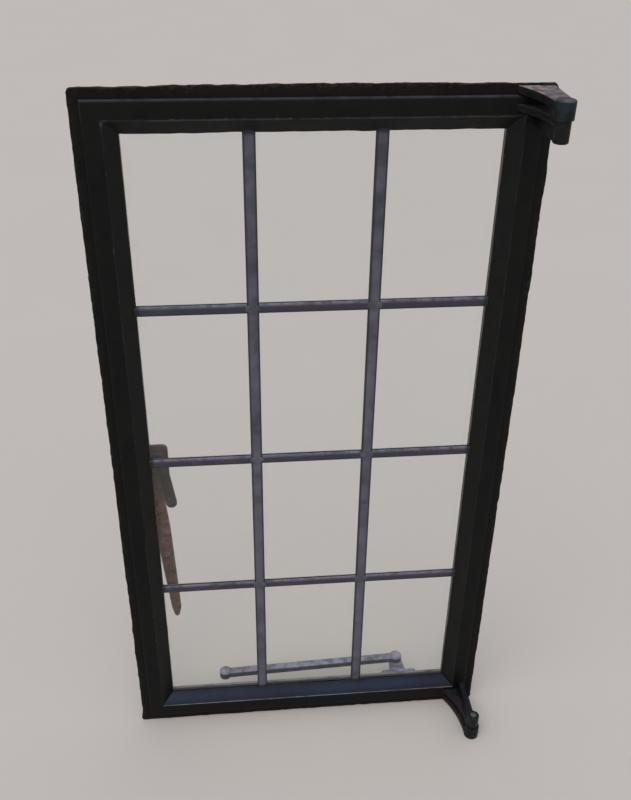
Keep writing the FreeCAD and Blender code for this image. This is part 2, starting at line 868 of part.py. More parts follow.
def stay_bracket():
    """Foot on the bottom rail's glazing leg with a rounded lug that carries the pivot."""
    body = new_body("stay_bracket")
    low = SILL_STOP + dim("plate_clear")
    high = BOTTOM + dim("sight_inset")
    half = dim("foot_width") / 2
    corners = rectangle(STAY_X - half, STAY_X + half, low, high)
    rounding = {2: dim("foot_corner"), 3: dim("foot_corner")}
    front_plate(body, LEG_BACK, LEG_BACK + dim("foot_thick"),
                lambda sketch: draw_outline(sketch, *round_corners(corners, rounding)))
    root = dim("lug_root")
    end = dim("lug_end")

    def lug(sketch):
        draw_outline(sketch, [
            (STAY_X - root, depth(LEG_BACK)), (STAY_X + root, depth(LEG_BACK)), (STAY_X + end, STAY_Y),
            (STAY_X, STAY_Y + end), (STAY_X - end, STAY_Y),
        ], {2: (end, 1), 3: (end, 1)})

    level_plate(body, low, STAY_LOW - dim("pivot_play"), lug)
    return body


def stay_pin():
    """Pivot rivet of the stay with a peened head."""
    body = new_body("stay_pin")
    turn_upright(body, STAY, STAY_LOW - dim("pivot_play"), rivet_profile(dim("stay_thick")))
    return body


def stay_bar():
    """Square bar with an eye at the pivot and a finger knob at its free end."""
    body = new_body("stay_bar")
    half = dim("stay_width") / 2
    end_x = STAY_X - dim("stay_length")
    end_y = STAY_Y - dim("stay_skew")
    level_plate(body, STAY_LOW, STAY_HIGH, lambda sketch: draw_outline(sketch, [
        (STAY_X, STAY_Y - half), (STAY_X, STAY_Y + half), (end_x, end_y + half), (end_x, end_y - half)]))
    shortest = TABLE["stay_length"] / 2
    soften_edges(body, dim("stay_round"), lambda edge: edge.Length > shortest)
    thick = dim("stay_thick")
    eye = dim("stay_eye")
    chamfer = dim("pin_chamfer")
    rim = eye - chamfer
    turn_upright(body, STAY, STAY_LOW, [
        (ZERO, ZERO), (rim, ZERO), (eye, chamfer), (eye, thick - chamfer), (rim, thick), (ZERO, thick)])
    knob = dim("stay_knob")
    top = dim("stay_knob_height")
    turn_upright(body, (end_x, end_y), STAY_LOW, [
        (ZERO, ZERO), (knob, ZERO), (knob, dim("stay_knob_shoulder")), (dim("stay_knob_crown"), top),
        (ZERO, top),
    ])
    bore = new_sketch(body, "XY_Plane")
    draw_circle(bore, STAY, dim("pivot_radius") + dim("running_play"))
    add_through_cut(body, bore)
    return body


def check_and_export(nodes):
    """Stop on any failed feature, then write one file per node."""
    DOC.recompute()
    for item in DOC.Objects:
        if "Invalid" in item.State or "Error" in item.State:
            raise RuntimeError(f"{item.Label} did not build")
    for node in nodes:
        if node.Shape.isNull() or not node.Shape.isValid():
            raise RuntimeError(f"{node.Label} has no valid shape")
    os.makedirs("parts", exist_ok=True)
    for node in nodes:
        node.Shape.exportStep(f"parts/{node.Label}.step")
        print(node.Label, len(node.Shape.Solids), round(node.Shape.Volume))


NODES = build_frames() + build_panel() + build_hinges()
NODES += [handle_plate(), handle_pin(), handle_lever(), handle_keep()]
NODES += [stay_bracket(), stay_pin(), stay_bar()]
check_and_export(NODES)
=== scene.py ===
"""Weathered finishes, small fittings and a stage for a leaded steel casement window."""

from math import atan2, cos, exp, pi, radians

import bmesh
import bpy
from bpy.props import FloatProperty, FloatVectorProperty, PointerProperty
from mathutils import Matrix, Vector, noise


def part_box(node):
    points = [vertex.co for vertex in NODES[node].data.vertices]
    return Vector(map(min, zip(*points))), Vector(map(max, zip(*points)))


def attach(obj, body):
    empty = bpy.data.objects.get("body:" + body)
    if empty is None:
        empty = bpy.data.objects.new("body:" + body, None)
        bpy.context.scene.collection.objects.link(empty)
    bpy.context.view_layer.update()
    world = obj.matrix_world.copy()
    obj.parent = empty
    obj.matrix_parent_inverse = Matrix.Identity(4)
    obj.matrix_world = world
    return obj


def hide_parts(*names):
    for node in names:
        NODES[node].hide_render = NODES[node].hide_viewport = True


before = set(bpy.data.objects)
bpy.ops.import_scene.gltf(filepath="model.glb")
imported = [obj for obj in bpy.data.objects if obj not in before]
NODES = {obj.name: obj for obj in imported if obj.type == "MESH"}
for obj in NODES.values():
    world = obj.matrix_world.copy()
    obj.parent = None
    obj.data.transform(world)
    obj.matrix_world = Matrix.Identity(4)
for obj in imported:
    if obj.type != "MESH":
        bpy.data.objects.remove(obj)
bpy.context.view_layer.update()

bl_info = {
    "name": "Leaded Steel Casement",
    "version": (1, 0, 0),
    "blender": (4, 5, 0),
    "location": "View3D > Sidebar > Casement",
    "description": "Weathered paint, lead, glass and ironmongery for a steel framed window",
    "category": "Object",
}

# Landmarks of the window, read from its solids
HALF_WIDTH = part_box("frame_head")[1].x
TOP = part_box("frame_head")[1].z
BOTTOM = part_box("frame_sill")[0].z
LAP_INSET = HALF_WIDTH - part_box("casement_right_stile")[1].x
SIGHT_INSET = HALF_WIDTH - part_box("casement_right_stile")[0].x
PUTTY_INSET = HALF_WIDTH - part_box("right_putty")[1].x
GLASS_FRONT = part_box("pane_row1_col1")[0].y
MIDDLE = (TOP + BOTTOM) / 2
KNUCKLE_WALL = 0.0055
KNUCKLE_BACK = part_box("top_hinge_pin")[1].y + KNUCKLE_WALL
PLATE_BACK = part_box("frame_head")[1].y
FOOT_THICK = 0.004
INWARD = (0, 1, 0)
OUTWARD = (0, -1, 0)

FRAME_BARS = ("frame_head", "frame_sill", "frame_left_jamb", "frame_right_jamb")
CASEMENT_BARS = ("casement_top_rail", "casement_bottom_rail", "casement_left_stile", "casement_right_stile")
PUTTY_FILLETS = ("top_putty", "bottom_putty", "left_putty", "right_putty")
UPRIGHT_LEADS = ("came_upright_left", "came_upright_right")
LEVEL_LEADS = ("came_level_lower", "came_level_middle", "came_level_upper")
PANES = tuple(sorted(name for name in NODES if name.startswith("pane_")))


def centre_of(name):
    low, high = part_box(name)
    return (low + high) / 2


LEAD_COLUMNS = tuple(centre_of(name).x for name in UPRIGHT_LEADS)
LEAD_ROWS = tuple(centre_of(name).z for name in LEVEL_LEADS)


def length(name, description, default):
    return FloatProperty(
        name=name, description=description, default=default, subtype="DISTANCE", unit="LENGTH")


def colour(name, description, default):
    return FloatVectorProperty(
        name=name, description=description, default=default, size=3, min=0.0, max=1.0, subtype="COLOR")


class CasementSizes(bpy.types.PropertyGroup):
    """Sizes of the small shapes that weather and fixings add."""

    edge_softness: length("Edge softness", "Rounding of the painted steel's edges", 0.0006)
    fitting_softness: length(
        "Fitting softness", "Rounding of the hinges', fastener's and stay's edges", 0.0005)
    scale_depth: length("Scale depth", "How far rust scale moves the outer edge in and out", 0.0009)
    scale_reach: length("Scale reach", "How far in from the outer edge the rust scale goes", 0.009)
    scale_step: length("Scale step", "Distance between the cuts that carry the rust scale", 0.004)
    corner_wear: length("Corner wear", "Rounding of the outer corners of the fixed frame", 0.005)
    putty_step: length("Putty step", "Distance between the cuts that carry the putty's waves", 0.007)
    putty_wave: length("Putty wave", "How far the putty's edge on the glass wanders", 0.0009)
    putty_spread: length("Putty spread", "How much further the head's putty runs over the glass", 0.0022)
    solder_radius: length("Solder radius", "Mean radius of a soldered crossing", 0.0070)
    solder_height: length("Solder height", "How far solder stands over the leads", 0.0005)
    screw_radius: length("Screw radius", "Radius of a fixing screw's head", 0.0032)
    screw_height: length("Screw height", "How far a fixing screw's head stands out", 0.0011)
    screw_margin: length("Screw margin", "Distance of a screw from the end of keep or stay foot", 0.0065)
    plate_margin: length("Plate screw margin", "Distance of the upper screw from the plate's edges", 0.0055)
    plate_pitch: length("Plate screw pitch", "Distance between the plate's two screws", 0.0320)


class CasementFinishes(bpy.types.PropertyGroup):
    """Colours of the paint, lead, glass and bare steel."""

    paint: colour("Paint", "Black paint", (0.0032, 0.0032, 0.0034))
    paint_worn: colour("Worn paint", "Paint gone brown and green with age", (0.0068, 0.0069, 0.0058))
    # Chalked paint on rubbed arrises; along the head's lap edge the same colour is a painted highlight.
    chalk_and_highlight: colour(
        "Chalked paint", "Paint rubbed to a purplish grey along its edges", (0.062, 0.060, 0.082))
    # Pale chips in the paint; at the head's putty arris and putty lip the same colour is also a painted
    # highlight.
    chip: colour("Paint chip", "Pale undercoat in a chip", (0.26, 0.25, 0.27))
    rust_dark: colour("Dark rust", "Old dark rust", (0.007, 0.005, 0.0045))
    rust_light: colour("Light rust", "Brown rust", (0.029, 0.0185, 0.0145))
    lichen: colour("Lichen", "Grey green growth on the rough outer edge", (0.026, 0.030, 0.019))
    # A painted blue grey sky reflection, laid on the putty and the bottom hinge where they face up.
    bloom: colour("Bloom", "Blue grey chalking on putty that faces the sky", (0.018, 0.025, 0.058))
    # Dust; on the inner ledge behind the glass it is laid on thick and is also a painted sky sheen.
    dust: colour("Dust", "Dust that settles on ledges", (0.19, 0.17, 0.165))
    lead_dark: colour("Dark lead", "Dark weathered lead", (0.038, 0.040, 0.052))
    lead_light: colour("Light lead", "Lead with a pale bloom", (0.136, 0.129, 0.168))
    # Painted sky highlight on lead that faces up.
    lead_sky_highlight: colour("Pale lead", "Lead that faces the sky", (0.230, 0.220, 0.285))
    # Grime along the leads' edges; on edges that face down it is also painted shade.
    lead_grime_and_shade: colour("Lead grime", "Grime along the edges of the leads", (0.022, 0.021, 0.020))
    glass: colour("Glass", "Clear sheet glass with a trace of green", (0.955, 0.975, 0.965))
    lever_brown: colour("Lever brown", "Handled red brown rust of the lever", (0.178, 0.056, 0.042))
    lever_olive: colour("Lever olive", "Olive stain on the lever", (0.122, 0.068, 0.036))
    lever_pale: colour("Lever pale", "Rubbed pale rust of the lever", (0.270, 0.146, 0.112))
    plate_grey: colour("Plate grey", "Grey green steel of the fastener's plate", (0.009, 0.013, 0.010))
    plate_brown: colour("Plate brown", "Brown stain on the fastener's plate", (0.050, 0.027, 0.024))
    stay_grey: colour("Stay grey", "Dull steel of the stay", (0.009, 0.009, 0.013))
    stay_blue: colour("Stay blue", "Blue tarnish on the stay", (0.010, 0.018, 0.032))
    stay_pale: colour("Stay pale", "Worn bright steel of the stay", (0.084, 0.078, 0.094))
    # Dust and a painted pale blue grey sky highlight on the stay's top.
    stay_dust_and_sky_sheen: colour("Stay bloom", "Pale blue grey tarnish on top of the stay", (0.290, 0.280, 0.370))
    hinge_bare: colour("Bare hinge", "Pinkish bare metal on top of the hinge arms", (0.300, 0.232, 0.232))
    hinge_green: colour("Hinge green", "Blue green tarnish on the upper knuckle", (0.012, 0.030, 0.034))


class CasementStage(bpy.types.PropertyGroup):
    """Floor, light and camera."""

    floor: colour("Floor", "Plain pale floor", (0.62, 0.555, 0.51))
    floor_size: length("Floor size", "Side of the square floor", 60.0)
    sky: colour("Sky", "Even light from all round", (0.86, 0.92, 1.0))
    sky_strength: FloatProperty(name="Sky strength", description="Level of the even light",
                                default=0.6, min=0.0)
    lamp_strength: FloatProperty(name="Lamp strength", description="Level of the wide soft lamp",
                                 default=1.15, min=0.0)
    lamp_spread: FloatProperty(name="Lamp spread", description="Width of the soft lamp as an angle",
                               default=radians(55), subtype="ANGLE", unit="ROTATION")
    lamp_from: FloatVectorProperty(name="Lamp from", description="Direction that the soft lamp shines from",
                                   default=(-0.25, -0.55, 1.0), subtype="DIRECTION")
    camera_place: FloatVectorProperty(name="Camera place", description="Place of the camera",
                                      default=(-0.0899, -0.8962, 1.0431), subtype="XYZ", unit="LENGTH")
    camera_aim: FloatVectorProperty(name="Camera aim", description="Point that the camera looks at",
                                    default=(0.0036, 0.0, 0.4839), subtype="XYZ", unit="LENGTH")
    camera_roll: FloatProperty(name="Camera roll", description="Turn of the camera about its line of sight",
                               default=radians(0.863), subtype="ANGLE", unit="ROTATION")
    lens: FloatProperty(name="Lens", description="Focal length in millimetres", default=42.061,
                        unit="CAMERA")


# Shader nodes

RUBBED = "rubbed"


def feed(tree, socket, value):
    """Links another node's socket to this one, or sets its plain value."""
    if isinstance(value, bpy.types.NodeSocket):
        tree.links.new(value, socket)
    elif socket.type == "RGBA" and len(value) == 3:
        socket.default_value = (*value, 1.0)
    else:
        socket.default_value = value


def place(tree, kind, inputs=None, **settings):
    """Adds a node with its settings and its inputs by name."""
    made = tree.nodes.new(kind)
    for name, value in settings.items():
        setattr(made, name, value)
    for name, value in (inputs or {}).items():
        feed(tree, made.inputs[name], value)
    return made


def maths(tree, operation, *values, clamp=False):
    """One step of arithmetic."""
    made = place(tree, "ShaderNodeMath", operation=operation, use_clamp=clamp)
    for socket, value in zip(made.inputs, values):
        feed(tree, socket, value)
    return made.outputs[0]


def ramp(tree, value, low, high, start=0.0, end=1.0):
    """Smooth change from start at low to end at high."""
    made = place(tree, "ShaderNodeMapRange", interpolation_type="SMOOTHSTEP")
    for socket, given in zip(made.inputs, (value, low, high, start, end)):
        feed(tree, socket, given)
    return made.outputs[0]


def tint(tree, amount, first, second):
    """Colour between first and second."""
    made = place(tree, "ShaderNodeMix", data_type="RGBA")
    feed(tree, made.inputs[0], amount)
    feed(tree, made.inputs[6], first)
    feed(tree, made.inputs[7], second)
    return made.outputs[2]


def product(tree, *values):
    """All the values multiplied together."""
    total = values[0]
    for value in values[1:]:
        total = maths(tree, "MULTIPLY", total, value)
    return total


def coat(tree, base, over, *masks):
    """The base with a colour over it where all the masks let it lie."""
    return tint(tree, product(tree, *masks), base, over)


def cloud(tree, vector, scale, detail=3.0, rough=0.55, distortion=0.0):
    """Cloudy noise."""
    made = place(tree, "ShaderNodeTexNoise", {
        "Vector": vector, "Scale": scale, "Detail": detail, "Roughness": rough, "Distortion": distortion})
    return made.outputs[0]


def threshold(tree, value, level, spread):
    """Smooth step from 0 to 1 as a value passes a level."""
    low = maths(tree, "SUBTRACT", level, spread)
    return ramp(tree, value, low, maths(tree, "ADD", level, spread))


def spot(tree):
    """Place on the surface, in the window's own frame."""
    return place(tree, "ShaderNodeTexCoord").outputs["Object"]


def split(tree, vector):
    """The three parts of a vector."""
    return place(tree, "ShaderNodeSeparateXYZ", {"Vector": vector}).outputs


def begin_group(name, inputs, outputs):
    """A new group with its named sockets; an input's default tells its kind."""
    tree = bpy.data.node_groups.new(name, "ShaderNodeTree")
    for label, default in inputs.items():
        kind = "NodeSocketColor" if isinstance(default, tuple) else "NodeSocketFloat"
        socket = tree.interface.new_socket(name=label, in_out="INPUT", socket_type=kind)
        socket.default_value = (*default, 1.0) if isinstance(default, tuple) else default
    for label in outputs:
        kind = "NodeSocketColor" if label == "Colour" else "NodeSocketFloat"
        tree.interface.new_socket(name=label, in_out="OUTPUT", socket_type=kind)
    return tree, tree.nodes.new("NodeGroupInput").outputs, tree.nodes.new("NodeGroupOutput").inputs


def group(tree, name, **inputs):
    """Places a shared group with its own values and gives its outputs."""
    made = place(tree, "ShaderNodeGroup", node_tree=bpy.data.node_groups[name])
    for label, value in inputs.items():
        feed(tree, made.inputs[label], value)
    return made.outputs


def edge_inset_group():
    """Distance in from the window's outer edge, in the plane of the frame."""
    tree, _, out = begin_group("Edge Inset", {}, ("Inset",))
    x, _, z = split(tree, spot(tree))
    side = maths(tree, "SUBTRACT", HALF_WIDTH, maths(tree, "ABSOLUTE", x))
    ends = maths(tree, "MINIMUM", maths(tree, "SUBTRACT", z, BOTTOM), maths(tree, "SUBTRACT", TOP, z))
    feed(tree, out["Inset"], maths(tree, "MINIMUM", side, ends))


def patches_group():
    """Soft uneven patches."""
    tree, given, out = begin_group("Patches", {"Scale": 30.0, "Spread": 0.15, "Level": 0.5}, ("Mask",))
    shape = cloud(tree, spot(tree), given["Scale"], 5.0, 0.62, 0.4)
    feed(tree, out["Mask"], threshold(tree, shape, given["Level"], given["Spread"]))


def dust_group():
    """Dust on what faces up, thicker in patches."""
    tree, given, out = begin_group(
        "Settled Dust", {"Amount": 0.5, "Scale": 60.0, "Low": 0.25, "High": 0.95, "Least": 0.25}, ("Mask",))
    facing = split(tree, place(tree, "ShaderNodeTexCoord").outputs["Normal"])[2]
    lying = ramp(tree, facing, given["Low"], given["High"])
    shape = ramp(tree, cloud(tree, spot(tree), given["Scale"], 5.0, 0.65), 0.34, 0.62, given["Least"], 1.0)
    mask = maths(tree, "MULTIPLY", product(tree, lying, shape), given["Amount"], clamp=True)
    feed(tree, out["Mask"], mask)


def worn_line_group():
    """Broken line where a distance comes near a given value."""
    tree, given, out = begin_group(
        "Worn Line", {"Distance": 0.0, "At": 0.01, "Width": 0.001, "Scale": 70.0, "Level": 0.5}, ("Mask",))
    away = maths(tree, "ABSOLUTE", maths(tree, "SUBTRACT", given["Distance"], given["At"]))
    line = ramp(tree, maths(tree, "DIVIDE", away, given["Width"]), 0.25, 1.0, 1.0, 0.0)
    broken = threshold(tree, cloud(tree, spot(tree), given["Scale"], 6.0, 0.7), given["Level"], 0.12)
    feed(tree, out["Mask"], product(tree, line, broken))


def rust_group():
    """Patchy rust with its colours and its raised grain."""
    tree, given, out = begin_group("Rust", {
        "Scale": 60.0, "Level": 0.55, "Dark": (0.02, 0.012, 0.008), "Light": (0.1, 0.05, 0.026),
    }, ("Mask", "Colour", "Height"))
    where = spot(tree)
    mask = threshold(tree, cloud(tree, where, given["Scale"], 6.0, 0.66, 0.6), given["Level"], 0.07)
    fine = cloud(tree, where, product(tree, given["Scale"], 6.0), 4.0, 0.7)
    feed(tree, out["Mask"], mask)
    feed(tree, out["Colour"], tint(tree, ramp(tree, fine, 0.36, 0.66), given["Dark"], given["Light"]))
    feed(tree, out["Height"], product(tree, mask, fine))


def rubbed_group():
    """Broken wear along the rounded arrises of a softened piece."""
    tree, given, out = begin_group("Rubbed Arris", {"Scale": 60.0, "Level": 0.5}, ("Mask",))
    arris = place(tree, "ShaderNodeAttribute", attribute_name=RUBBED).outputs["Fac"]
    broken = threshold(tree, cloud(tree, spot(tree), given["Scale"], 5.0, 0.65), given["Level"], 0.1)
    feed(tree, out["Mask"], product(tree, arris, broken))


def skin_group():
    """Fine unevenness of a surface: soft waves and a small grain."""
    tree, given, out = begin_group("Skin", {"Waves": 90.0, "Grain": 900.0, "Share": 0.4}, ("Height",))
    where = spot(tree)
    waves = cloud(tree, where, given["Waves"], 3.0, 0.5)
    grain = cloud(tree, where, given["Grain"], 3.0, 0.6)
    feed(tree, out["Height"], maths(tree, "ADD", waves, product(tree, grain, given["Share"])))


def build_groups():
    """Makes every shared group once."""
    for make in (edge_inset_group, patches_group, dust_group, worn_line_group, rust_group, rubbed_group,
                 skin_group):
        make()


def begin_material(name):
    """A material with its Principled shader, ready for inputs."""
    if "Skin" not in bpy.data.node_groups:
        build_groups()
    material = bpy.data.materials.new(name)
    material.use_nodes = True
    tree = material.node_tree
    return material, tree, tree.nodes["Principled BSDF"]


def add_bump(tree, shader, height, distance, strength):
    """Lets a height shape the shader's normal."""
    bump = place(tree, "ShaderNodeBump", {"Height": height, "Strength": strength, "Distance": distance})
    feed(tree, shader.inputs["Normal"], bump.outputs["Normal"])


def frame_paint():
    """Old black paint with rust scale at the outer edge and chalked arrises, a painted highlight along the
    head's lap edge and putty arris, and dust with a painted sky sheen on the ledges behind the glass.
    """
    finish = bpy.context.scene.casement_finishes
    material, tree, shader = begin_material("weathered_black_paint")
    inset = group(tree, "Edge Inset")["Inset"]
    tone = group(tree, "Patches", Scale=22.0, Spread=0.16)["Mask"]
    base = tint(tree, tone, finish.paint, finish.paint_worn)
    # Dust on what faces up, far thicker towards the sight line: on the inner leg's top behind the glass it
    # is partly dust and partly a painted sky sheen.
    dust = group(tree, "Settled Dust", Amount=0.5, Scale=45.0)["Mask"]
    ledge_dust_and_sheen = ramp(tree, inset, LAP_INSET, SIGHT_INSET, 0.30, 3.2)
    base = coat(tree, base, finish.dust, dust, ledge_dust_and_sheen)
    x, _, z = split(tree, spot(tree))
    # Chalked paint along the lap edge, much lighter along the head: a painted highlight where the lap faces
    # the sky.
    lap = group(tree, "Worn Line", Distance=inset, At=LAP_INSET, Width=0.0007, Scale=45.0, Level=0.42)
    sky_highlight = ramp(tree, z, TOP - SIGHT_INSET, TOP - LAP_INSET, 0.25, 0.85)
    base = coat(tree, base, finish.chalk_and_highlight, lap["Mask"], sky_highlight)
    # Pale worn line along the putty arris, mostly at the head: partly chips, partly a painted highlight.
    arris = group(tree, "Worn Line", Distance=inset, At=PUTTY_INSET, Width=0.0013, Scale=38.0, Level=0.44)
    base = coat(tree, base, finish.chip, arris["Mask"], sky_highlight, 0.25)
    chips = group(tree, "Worn Line", Distance=inset, At=PUTTY_INSET, Width=0.0016, Scale=120.0, Level=0.66)
    knocked = ramp(tree, x, 0.0, 0.15, 0.8, 0.2)
    base = coat(tree, base, finish.chip, chips["Mask"], knocked)
    rubbed = group(tree, "Rubbed Arris", Scale=40.0, Level=0.50)["Mask"]
    base = coat(tree, base, finish.chalk_and_highlight, rubbed, 0.25)
    rust = group(tree, "Rust", Scale=70.0, Level=0.52, Dark=finish.rust_dark, Light=finish.rust_light)
    outer = ramp(tree, inset, 0.0005, 0.010, 1.0, 0.0)
    scale = product(tree, rust["Mask"], outer)
    base = tint(tree, scale, base, rust["Colour"])
    growth = group(tree, "Patches", Scale=130.0, Spread=0.06, Level=0.56)["Mask"]
    edge = ramp(tree, inset, 0.0, 0.004, 0.8, 0.0)
    base = coat(tree, base, finish.lichen, growth, edge)
    feed(tree, shader.inputs["Base Color"], base)
    rough = ramp(tree, tone, 0.0, 1.0, 0.50, 0.64)
    rougher = maths(tree, "ADD", rough, product(tree, scale, 0.28), clamp=True)
    feed(tree, shader.inputs["Roughness"], rougher)
    shader.inputs["Specular IOR Level"].default_value = 0.14
    skin = group(tree, "Skin", Waves=120.0, Grain=850.0, Share=0.3)["Height"]
    raised = product(tree, rust["Height"], outer, 3.0)
    add_bump(tree, shader, maths(tree, "ADD", skin, raised), 0.0006, 0.6)
    return material


def putty_paint():
    """Painted putty with soft knife drags, a painted blue grey sky reflection where it faces up, and a pale
    line along its lip at the head that is partly chips and partly a painted highlight.
    """
    finish = bpy.context.scene.casement_finishes
    material, tree, shader = begin_material("painted_putty")
    tone = group(tree, "Patches", Scale=34.0, Spread=0.18)["Mask"]
    base = tint(tree, tone, finish.paint, finish.paint_worn)
    # Painted blue grey sky reflection on putty that faces up, strongest between the lip and the glass.
    bloom = group(tree, "Settled Dust", Amount=1.3, Scale=14.0, Least=0.50)["Mask"]
    inset = group(tree, "Edge Inset")["Inset"]
    at_lip = ramp(tree, inset, PUTTY_INSET, PUTTY_INSET + 0.006, 0.30, 1.0)
    at_glass = ramp(tree, inset, SIGHT_INSET - 0.005, SIGHT_INSET, 1.0, 0.40)
    base = coat(tree, base, finish.bloom, bloom, product(tree, at_lip, at_glass))
    # Pale line along the putty's lip, only at the head: partly chips, partly a painted highlight.
    lip = group(tree, "Worn Line", Distance=inset, At=PUTTY_INSET, Width=0.0022, Scale=30.0, Level=0.50)
    upper = ramp(tree, split(tree, spot(tree))[2], TOP - SIGHT_INSET, TOP - PUTTY_INSET, 0.0, 0.2)
    base = coat(tree, base, finish.chip, lip["Mask"], upper)
    feed(tree, shader.inputs["Base Color"], base)
    feed(tree, shader.inputs["Roughness"], ramp(tree, tone, 0.0, 1.0, 0.30, 0.44))
    shader.inputs["Specular IOR Level"].default_value = 0.21
    skin = group(tree, "Skin", Waves=60.0, Grain=420.0, Share=0.25)["Height"]
    add_bump(tree, shader, skin, 0.0008, 0.5)
    return material


def line_distance(tree, value, lines):
    """Distance to the nearest of some parallel lines."""
    nearest = None
    for line in lines:
        away = maths(tree, "ABSOLUTE", maths(tree, "SUBTRACT", value, line))
        nearest = away if nearest is None else maths(tree, "MINIMUM", nearest, away)
    return nearest


def lead_finish(name, axis, lines, face, level):
    """Weathered lead: pale bloom patches, paler lower down; grime along its edges, which on edges that face
    down is also painted shade; a painted sky highlight on what faces up; frame paint lapped over its ends.
    """
    finish = bpy.context.scene.casement_finishes
    material, tree, shader = begin_material(name)
    where = split(tree, spot(tree))
    # Pale bloom patches, fewer towards the head, so the lead is paler lower down.
    height = ramp(tree, where[2], MIDDLE, TOP - SIGHT_INSET, level, level + 0.14)
    bloom = group(tree, "Patches", Scale=36.0, Spread=0.30, Level=height)["Mask"]
    base = tint(tree, bloom, finish.lead_dark, finish.lead_light)
    crown = line_distance(tree, where[axis], lines)
    edge = ramp(tree, crown, 0.52 * face, 0.92 * face, 0.0, 0.9)
    # Grime along the edges, kept off what faces up: on the downward edges of the level leads it is painted
    # shade.
    facing_up = split(tree, place(tree, "ShaderNodeTexCoord").outputs["Normal"])[2]
    away_from_sky = ramp(tree, facing_up, 0.05, 0.20, 1.0, 0.0)
    base = coat(tree, base, finish.lead_grime_and_shade, edge, away_from_sky)
    # Painted sky highlight on what faces up.
    sky_highlight = group(tree, "Settled Dust", Amount=1.2, Scale=90.0, Low=0.12, High=0.60)["Mask"]
    base = tint(tree, sky_highlight, base, finish.lead_sky_highlight)
    ends = group(tree, "Edge Inset")["Inset"]
    lapped = ramp(tree, ends, SIGHT_INSET + 0.001, SIGHT_INSET + 0.006, 0.85, 0.0)
    base = tint(tree, lapped, base, finish.paint)
    feed(tree, shader.inputs["Base Color"], base)
    feed(tree, shader.inputs["Roughness"], ramp(tree, bloom, 0.0, 1.0, 0.40, 0.56))
    shader.inputs["Specular IOR Level"].default_value = 0.45
    shader.inputs["Metallic"].default_value = 0.15
    skin = group(tree, "Skin", Waves=150.0, Grain=700.0, Share=0.2)["Height"]
    add_bump(tree, shader, skin, 0.0006, 0.55)
    return material


def clear_glass():
    """Thin wavy sheet glass with grime along the leads; light passes through it to the floor."""
    finish = bpy.context.scene.casement_finishes
    material, tree, shader = begin_material("sheet_glass")
    where = spot(tree)
    x, _, z = split(tree, where)
    panel = HALF_WIDTH - SIGHT_INSET
    columns = line_distance(tree, x, (-panel, *LEAD_COLUMNS, panel))
    rows = line_distance(tree, z, (BOTTOM + SIGHT_INSET, *LEAD_ROWS, TOP - SIGHT_INSET))
    edge = maths(tree, "MINIMUM", columns, rows)
    patchy = ramp(tree, cloud(tree, where, 90.0, 5.0, 0.7), 0.42, 0.68)
    grime = product(tree, ramp(tree, edge, 0.004, 0.013, 1.0, 0.0), patchy)
    smear = ramp(tree, cloud(tree, where, 14.0, 4.0, 0.6, 1.2), 0.50, 0.75)
    film = maths(tree, "ADD", product(tree, grime, 0.10), product(tree, smear, 0.02))
    feed(tree, shader.inputs["Base Color"], coat(tree, finish.glass, finish.dust, grime, 0.06))
    feed(tree, shader.inputs["Roughness"], film)
    shader.inputs["IOR"].default_value = 1.45
    shader.inputs["Specular IOR Level"].default_value = 0.30
    shader.inputs["Transmission Weight"].default_value = 1.0
    add_bump(tree, shader, cloud(tree, where, 11.0, 2.0, 0.4), 0.0012, 0.25)
    through = place(tree, "ShaderNodeBsdfTransparent", {"Color": (0.93, 0.95, 0.94)})
    rays = place(tree, "ShaderNodeLightPath")
    either = place(tree, "ShaderNodeMixShader")
    feed(tree, either.inputs[0], rays.outputs["Is Shadow Ray"])
    feed(tree, either.inputs[1], shader.outputs[0])
    feed(tree, either.inputs[2], through.outputs[0])
    feed(tree, tree.nodes["Material Output"].inputs["Surface"], either.outputs[0])
    return material


def bare_steel(name, ground, stain, worn, rust_level, dust_amount, rough=(0.45, 0.65), top_dust_and_sheen=None):
    """Old bare steel in a ground and a stain colour, rubbed at its arrises, with rust blooms and dust on
    what faces up; on the stay that pale top is dust and a painted sky highlight.
    """
    finish = bpy.context.scene.casement_finishes
    material, tree, shader = begin_material(name)
    tone = group(tree, "Patches", Scale=30.0, Spread=0.16)["Mask"]
    base = tint(tree, tone, ground, stain)
    handled = group(tree, "Patches", Scale=70.0, Spread=0.10, Level=0.57)["Mask"]
    base = coat(tree, base, worn, handled, 0.6)
    rust = group(tree, "Rust", Scale=95.0, Level=rust_level, Dark=finish.rust_dark, Light=finish.rust_light)
    base = coat(tree, base, rust["Colour"], rust["Mask"], 0.75)
    rubbed = group(tree, "Rubbed Arris", Scale=85.0, Level=0.46)["Mask"]
    base = coat(tree, base, worn, rubbed, 0.7)
    # Dust on what faces up; with the stay's colour it is also a painted sky highlight.
    dust = group(tree, "Settled Dust", Amount=dust_amount, Scale=80.0)["Mask"]
    base = tint(tree, dust, base, finish.dust if top_dust_and_sheen is None else top_dust_and_sheen)
    feed(tree, shader.inputs["Base Color"], base)
    rougher = product(tree, rust["Mask"], 0.2)
    level = maths(tree, "ADD", ramp(tree, tone, 0.0, 1.0, *rough), rougher, clamp=True)
    feed(tree, shader.inputs["Roughness"], level)
    shader.inputs["Specular IOR Level"].default_value = 0.30
    skin = group(tree, "Skin", Waves=170.0, Grain=800.0, Share=0.35)["Height"]
    add_bump(tree, shader, maths(tree, "ADD", skin, rust["Height"]), 0.0005, 0.6)
    return material


